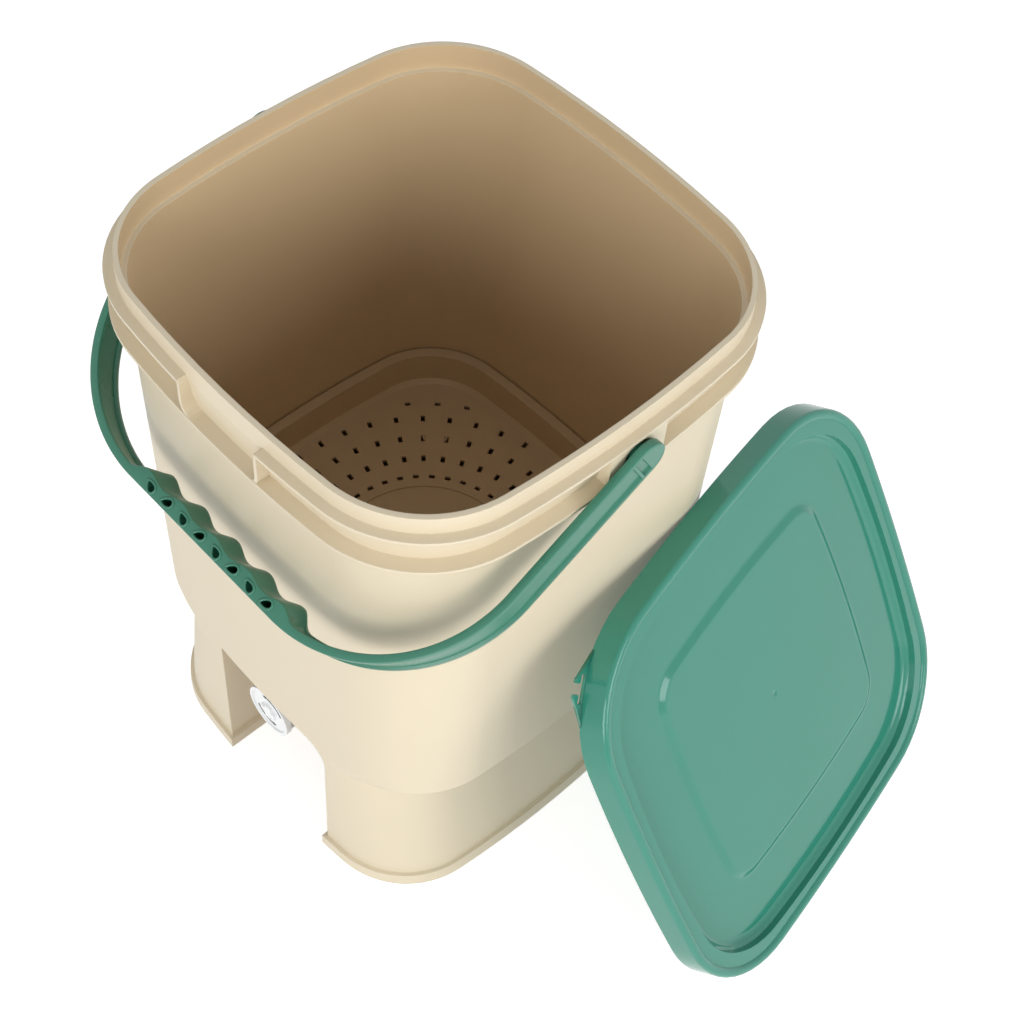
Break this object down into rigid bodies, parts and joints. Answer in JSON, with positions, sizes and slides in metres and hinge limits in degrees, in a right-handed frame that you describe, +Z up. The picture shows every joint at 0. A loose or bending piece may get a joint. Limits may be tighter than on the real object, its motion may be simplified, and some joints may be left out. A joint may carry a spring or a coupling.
{
  "type": "wormery",
  "caption": "Square kitchen wormery bin with a bail handle, lift-off lid, inner strainer tray and a drain tap in an alcove of its skirt.",
  "frame": {"origin": "middle of the bin's foot, on the floor", "axes": "+Z up, -Y towards the front with the tap, +X towards the side where the lid leans"},
  "size_m": [0.4667, 0.4228, 0.425],
  "materials": {
    "bin_plastic": "satin beige",
    "tray_plastic": "satin beige",
    "handle_plastic": "semi-gloss green",
    "lid_plastic": "glossy green, slightly translucent",
    "tap_plastic": "white",
    "seal_rubber": "black rubber"
  },
  "bodies": {
    "bin": {"bin_body": "bin_plastic", "tap_body": "tap_plastic", "tap_gasket": "seal_rubber", "tap_inner_washer": "seal_rubber", "tap_nut": "tap_plastic"},
    "handle": {"bail_handle": "handle_plastic"},
    "tray": {"strainer": "tray_plastic"},
    "knob": {"tap_knob": "tap_plastic", "tap_o_ring": "seal_rubber"},
    "cover": {"lid": "lid_plastic"}
  },
  "joints": [
    {"name": "handle_swing", "type": "hinge", "parent": "bin", "child": "handle", "pos_m": [0, 0.0045, 0.4], "axis": [-1, 0, 0], "range_deg": [0, 246]},
    {"name": "tray_lift", "type": "slide", "parent": "bin", "child": "tray", "axis": [0, 0, 1], "range_m": [0, 0.36]},
    {"name": "tap_turn", "type": "hinge", "parent": "bin", "child": "knob", "pos_m": [0, -0.118, 0.096], "axis": [0, -1, 0], "range_deg": [0, 90]},
    {"name": "lid_slide", "type": "slide", "parent": "bin", "child": "cover", "axis": [1, 0, 0], "range_m": [0, 0.15]}
  ]
}
